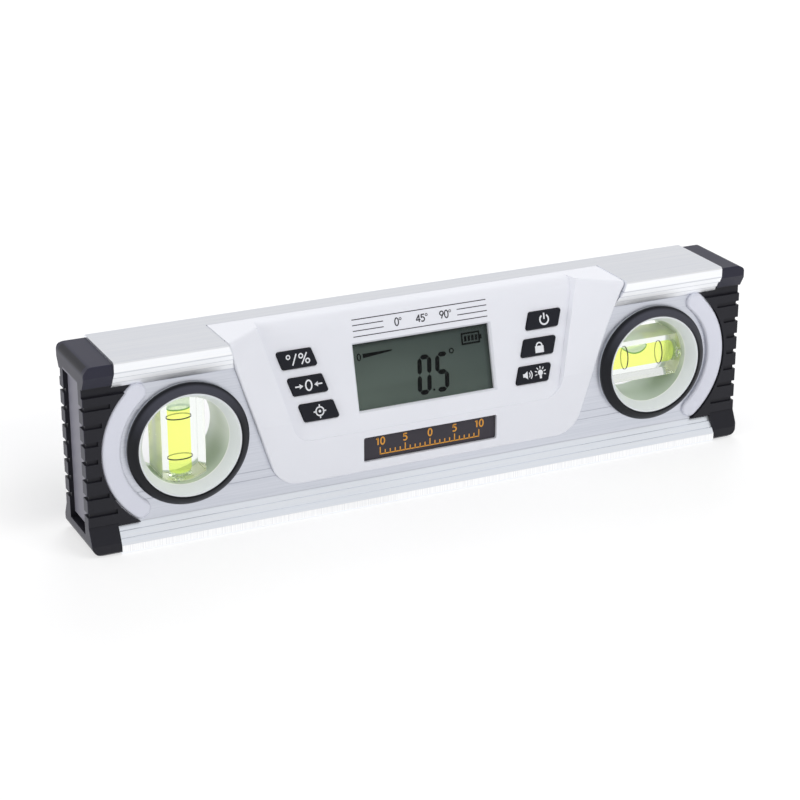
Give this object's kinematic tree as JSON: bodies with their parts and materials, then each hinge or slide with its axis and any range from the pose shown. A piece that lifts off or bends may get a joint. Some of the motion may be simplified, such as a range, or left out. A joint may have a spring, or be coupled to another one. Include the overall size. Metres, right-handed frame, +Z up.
{
  "type": "digital inclinometer",
  "caption": "Compact digital spirit level: aluminium rail with end caps, plumb and level vials, and a tilted display with push buttons.",
  "frame": {"origin": "middle of the base face, on the surface the level stands on", "axes": "+X along the level to the right as the display is read, +Y from the display to the rear, +Z up"},
  "size_m": [0.2482, 0.0302, 0.067],
  "materials": {
    "brushed_aluminium": "fine brushed, clear anodised",
    "black_moulding": "fine sparked texture",
    "silver_moulding": "satin silver paint",
    "black_ring": "semi gloss",
    "pale_sleeve": "satin",
    "clear_acrylic": "polished clear acrylic",
    "vial_liquid": "clear yellow green liquid",
    "vial_plug": "clear tinted",
    "white_housing": "semi gloss white",
    "white_door": "semi gloss white",
    "dark_plate": "satin dark grey, bare",
    "clear_lens": "polished clear",
    "display_glass": "green grey liquid crystal",
    "grey_rubber": "soft matt",
    "black_button": "satin with white pictograms",
    "green_board": "solder mask",
    "zinc_screw": "zinc plated",
    "black_package": "moulded package",
    "grey_tray": "moulded",
    "cell_jacket": "plain printed jacket",
    "nickel_contact": "nickel plated spring strip",
    "red_lead": "insulated lead",
    "nickel_magnet": "nickel plated"
  },
  "bodies": {
    "level": {"base_magnets": "nickel_magnet", "battery_bridge": "nickel_contact", "battery_leads": "red_lead", "battery_leaves": "nickel_contact", "battery_lower": "cell_jacket", "battery_tray": "grey_tray", "battery_upper": "cell_jacket", "bezel_front_left": "black_ring", "bezel_front_right": "black_ring", "bezel_rear_left": "black_ring", "bezel_rear_right": "black_ring", "board_screws": "zinc_screw", "buzzer": "black_package", "circuit_board": "green_board", "controller_chip": "black_package", "cover_screws": "zinc_screw", "crescent_front_left": "silver_moulding", "crescent_front_right": "silver_moulding", "crescent_rear_left": "silver_moulding", "crescent_rear_right": "silver_moulding", "display_backlight": "pale_sleeve", "display_connector": "grey_rubber", "display_glass": "display_glass", "display_lens": "clear_lens", "end_cap_left": "black_moulding", "end_cap_right": "black_moulding", "front_housing": "white_housing", "key_mat_left": "grey_rubber", "key_mat_right": "grey_rubber", "level_liquid": "vial_liquid", "level_plug": "vial_plug", "level_vial": "clear_acrylic", "name_plate": "dark_plate", "plumb_liquid": "vial_liquid", "plumb_plug": "vial_plug", "plumb_vial": "clear_acrylic", "rail": "brushed_aluminium", "rear_cover": "white_housing", "tilt_sensor": "black_package", "vial_sleeve_left": "pale_sleeve", "vial_sleeve_right": "pale_sleeve"},
    "button_unit": {"button_unit": "black_button"},
    "button_reference": {"button_reference": "black_button"},
    "button_calibrate": {"button_calibrate": "black_button"},
    "button_power": {"button_power": "black_button"},
    "button_hold": {"button_hold": "black_button"},
    "button_sound_light": {"button_sound_light": "black_button"},
    "battery_door": {"battery_door": "white_door"}
  },
  "joints": [
    {"name": "press_unit", "type": "slide", "parent": "level", "child": "button_unit", "axis": [0, 0.9692, -0.2462], "range_m": [0, 0.0008], "stiffness_N_per_m": 2000},
    {"name": "press_reference", "type": "slide", "parent": "level", "child": "button_reference", "axis": [0, 0.9692, -0.2462], "range_m": [0, 0.0008], "stiffness_N_per_m": 2000},
    {"name": "press_calibrate", "type": "slide", "parent": "level", "child": "button_calibrate", "axis": [0, 0.9692, -0.2462], "range_m": [0, 0.0008], "stiffness_N_per_m": 2000},
    {"name": "press_power", "type": "slide", "parent": "level", "child": "button_power", "axis": [0, 0.9692, -0.2462], "range_m": [0, 0.0008], "stiffness_N_per_m": 2000},
    {"name": "press_hold", "type": "slide", "parent": "level", "child": "button_hold", "axis": [0, 0.9692, -0.2462], "range_m": [0, 0.0008], "stiffness_N_per_m": 2000},
    {"name": "press_sound_light", "type": "slide", "parent": "level", "child": "button_sound_light", "axis": [0, 0.9692, -0.2462], "range_m": [0, 0.0008], "stiffness_N_per_m": 2000},
    {"name": "battery_door_hinge", "type": "hinge", "parent": "level", "child": "battery_door", "pos_m": [0, 0.0118, 0.0193], "axis": [-1, 0, 0], "range_deg": [0, 90]}
  ]
}
